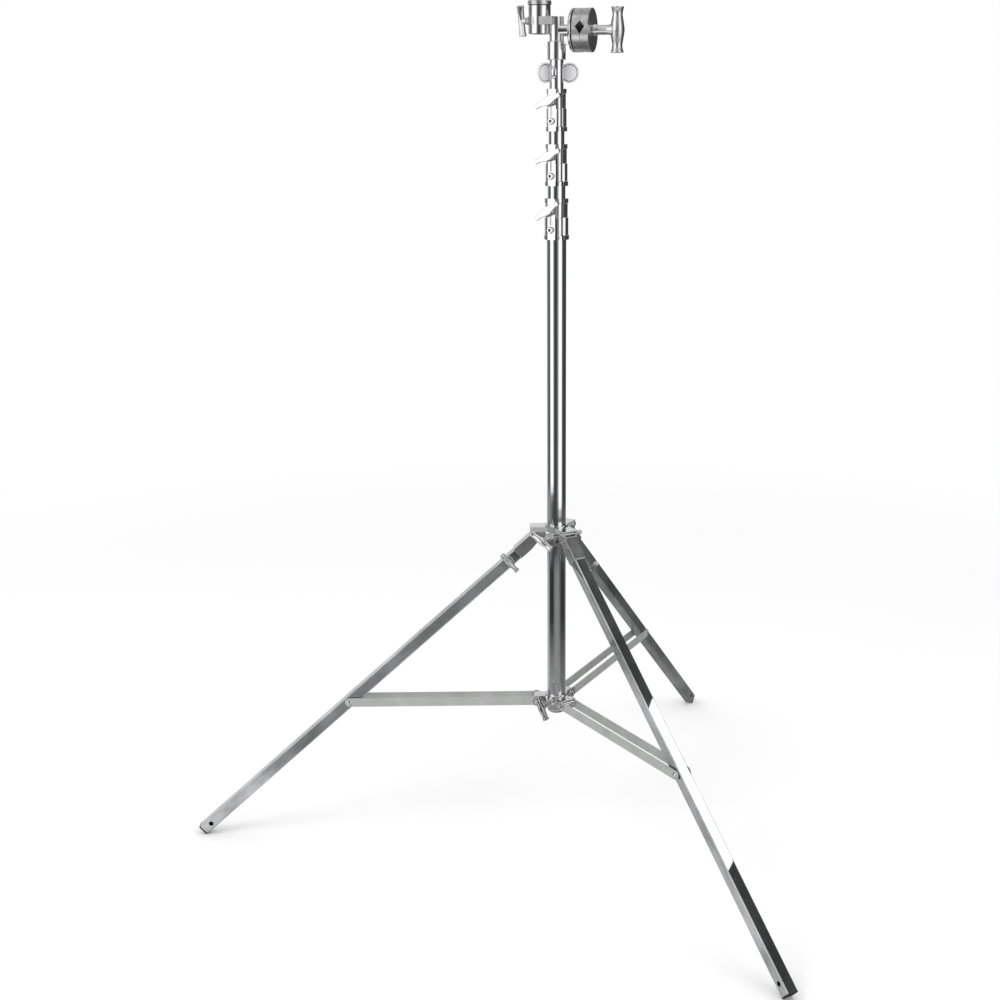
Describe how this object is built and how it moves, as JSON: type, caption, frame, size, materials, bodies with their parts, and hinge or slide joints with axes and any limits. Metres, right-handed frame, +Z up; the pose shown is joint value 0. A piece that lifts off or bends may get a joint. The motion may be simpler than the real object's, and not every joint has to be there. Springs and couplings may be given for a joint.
{
  "type": "overhead stand",
  "caption": "Folding steel stand with square braced legs, telescoping risers with clamp collars, and a top head with a spigot receiver and a round grip with V-grooved jaws.",
  "frame": {"origin": "middle of the footprint box, on the floor under the feet", "axes": "+Z up along the mast, +X along the grip head's screw from the mast to its T-handle"},
  "size_m": [1.7136, 1.6662, 2.2302],
  "materials": {
    "chrome": "bright polished",
    "nickel": "bright satin",
    "zinc": "satin plated",
    "steel": "brushed",
    "nylon": "matte",
    "black": "matte"
  },
  "bodies": {
    "column": {"base_tube": "chrome", "base_plug": "nickel", "lower_hub": "nickel", "collar_1": "nickel", "collar_screw_1": "nickel", "brace_bolt_left": "nickel", "brace_bolt_front": "nickel", "brace_bolt_back": "nickel"},
    "lower_clamp": {"lower_hub_handle": "nickel"},
    "hub": {"upper_hub": "zinc", "hinge_pin_left": "chrome", "hinge_pin_front": "chrome", "hinge_pin_back": "chrome"},
    "upper_clamp": {"upper_hub_handle": "nickel"},
    "leg_left": {"leg_left": "chrome", "leg_bracket_left": "zinc", "foot_plug_left": "black", "leg_pivot_left": "zinc"},
    "brace_left": {"brace_left_a": "zinc", "brace_left_b": "zinc"},
    "leg_bolt_left": {"leg_bolt_left": "nickel"},
    "leg_front": {"leg_front": "chrome", "leg_bracket_front": "zinc", "foot_plug_front": "black", "leg_pivot_front": "zinc"},
    "brace_front": {"brace_front_a": "zinc", "brace_front_b": "zinc"},
    "leg_bolt_front": {"leg_bolt_front": "nickel"},
    "leg_back": {"leg_back": "chrome", "leg_bracket_back": "zinc", "foot_plug_back": "black", "leg_pivot_back": "zinc"},
    "brace_back": {"brace_back_a": "zinc", "brace_back_b": "zinc"},
    "leg_bolt_back": {"leg_bolt_back": "nickel"},
    "collar_clamp_1": {"collar_handle_1": "nickel"},
    "riser_1": {"riser_1": "chrome", "riser_plug_1": "nylon", "collar_2": "nickel", "collar_screw_2": "nickel"},
    "collar_clamp_2": {"collar_handle_2": "nickel"},
    "riser_2": {"riser_2": "chrome", "riser_plug_2": "nylon", "collar_3": "nickel", "collar_screw_3": "nickel"},
    "collar_clamp_3": {"collar_handle_3": "nickel"},
    "riser_3": {"riser_3": "chrome", "riser_plug_3": "nylon", "tie_off_ears": "nickel", "riser_button": "chrome"},
    "head": {"head_casting": "nickel", "receiver_liner": "steel", "grip_back_plate": "nickel", "friction_disc": "black", "grip_stud": "steel"},
    "receiver_clamp": {"receiver_handle": "nickel"},
    "inner_jaw": {"inner_jaw": "steel"},
    "outer_jaw": {"outer_jaw": "steel", "grip_washer": "nickel"},
    "grip_handle": {"grip_handle": "chrome"}
  },
  "joints": [
    {"name": "lower_clamp_screw", "type": "hinge", "parent": "column", "child": "lower_clamp", "pos_m": [0.08325, -0.237, 0.388], "axis": [-0.2079, -0.9781, 0], "range_deg": [0, 180]},
    {"name": "fold", "type": "slide", "parent": "column", "child": "hub", "axis": [0, 0, 1], "range_m": [0, 0.713]},
    {"name": "upper_clamp_screw", "type": "hinge", "parent": "hub", "child": "upper_clamp", "pos_m": [0.08325, -0.237, 0.865], "axis": [-0.2079, -0.9781, 0], "range_deg": [0, 180]},
    {"name": "leg_hinge_left", "type": "hinge", "parent": "hub", "child": "leg_left", "pos_m": [0.04282, -0.17001, 0.87716], "axis": [0.309, -0.9511, 0], "range_deg": [0, 39.01]},
    {"name": "brace_hinge_left", "type": "hinge", "parent": "column", "child": "brace_left", "pos_m": [0.04924, -0.16792, 0.388], "axis": [-0.309, 0.9511, 0], "range_deg": [0, 78.78]},
    {"name": "leg_bolt_turn_left", "type": "hinge", "parent": "leg_left", "child": "leg_bolt_left", "pos_m": [-0.01014, -0.21876, 0.79052], "axis": [0.309, -0.9511, 0], "range_deg": [0, 180]},
    {"name": "leg_hinge_front", "type": "hinge", "parent": "hub", "child": "leg_front", "pos_m": [0.14743, -0.19224, 0.87716], "axis": [0.6691, 0.7431, 0], "range_deg": [0, 39.01]},
    {"name": "brace_hinge_front", "type": "hinge", "parent": "column", "child": "brace_front", "pos_m": [0.14242, -0.18773, 0.388], "axis": [-0.6691, -0.7431, 0], "range_deg": [0, 78.78]},
    {"name": "leg_bolt_turn_front", "type": "hinge", "parent": "leg_front", "child": "leg_bolt_front", "pos_m": [0.21613, -0.21374, 0.79052], "axis": [0.6691, 0.7431, 0], "range_deg": [0, 180]},
    {"name": "leg_hinge_back", "type": "hinge", "parent": "hub", "child": "leg_back", "pos_m": [0.11439, -0.09053, 0.87716], "axis": [-0.9781, 0.2079, 0], "range_deg": [0, 39.01]},
    {"name": "brace_hinge_back", "type": "hinge", "parent": "column", "child": "brace_back", "pos_m": [0.11298, -0.09713, 0.388], "axis": [0.9781, -0.2079, 0], "range_deg": [0, 78.78]},
    {"name": "leg_bolt_turn_back", "type": "hinge", "parent": "leg_back", "child": "leg_bolt_back", "pos_m": [0.09864, -0.02029, 0.79052], "axis": [-0.9781, 0.2079, 0], "range_deg": [0, 180]},
    {"name": "collar_screw_turn_1", "type": "hinge", "parent": "column", "child": "collar_clamp_1", "pos_m": [0.09053, -0.20277, 1.722], "axis": [-0.2079, -0.9781, 0], "range_deg": [0, 180]},
    {"name": "riser_slide_1", "type": "slide", "parent": "column", "child": "riser_1", "axis": [0, 0, 1], "range_m": [0, 1.08]},
    {"name": "collar_screw_turn_2", "type": "hinge", "parent": "riser_1", "child": "collar_clamp_2", "pos_m": [0.09105, -0.20032, 1.856], "axis": [-0.2079, -0.9781, 0], "range_deg": [0, 180]},
    {"name": "riser_slide_2", "type": "slide", "parent": "riser_1", "child": "riser_2", "axis": [0, 0, 1], "range_m": [0, 1.18]},
    {"name": "collar_screw_turn_3", "type": "hinge", "parent": "riser_2", "child": "collar_clamp_3", "pos_m": [0.09157, -0.19788, 1.99], "axis": [-0.2079, -0.9781, 0], "range_deg": [0, 180]},
    {"name": "riser_slide_3", "type": "slide", "parent": "riser_2", "child": "riser_3", "axis": [0, 0, 1], "range_m": [0, 1.26]},
    {"name": "head_swivel", "type": "hinge", "parent": "riser_3", "child": "head", "pos_m": [0.10155, -0.15093, 2.133], "axis": [0, 0, 1], "continuous": true},
    {"name": "receiver_screw", "type": "hinge", "parent": "head", "child": "receiver_clamp", "pos_m": [0.01165, -0.15093, 2.18125], "axis": [-1, 0, 0], "range_deg": [0, 180]},
    {"name": "jaw_rotation", "type": "hinge", "parent": "head", "child": "inner_jaw", "pos_m": [0.15265, -0.15093, 2.158], "axis": [1, 0, 0], "continuous": true},
    {"name": "jaw_opening", "type": "slide", "parent": "inner_jaw", "child": "outer_jaw", "axis": [1, 0, 0], "range_m": [0, 0.01201]},
    {"name": "grip_screw", "type": "hinge", "parent": "outer_jaw", "child": "grip_handle", "pos_m": [0.25585, -0.15093, 2.158], "axis": [1, 0, 0], "range_deg": [0, 2160]}
  ],
  "couplings": [
    {"joint": "leg_hinge_left", "follows": "fold", "rad_per_m": 0.95467},
    {"joint": "brace_hinge_left", "follows": "fold", "rad_per_m": 1.9281},
    {"joint": "leg_hinge_front", "follows": "fold", "rad_per_m": 0.95467},
    {"joint": "brace_hinge_front", "follows": "fold", "rad_per_m": 1.9281},
    {"joint": "leg_hinge_back", "follows": "fold", "rad_per_m": 0.95467},
    {"joint": "brace_hinge_back", "follows": "fold", "rad_per_m": 1.9281},
    {"joint": "jaw_opening", "follows": "grip_screw", "m_per_rad": 0.00031831}
  ]
}
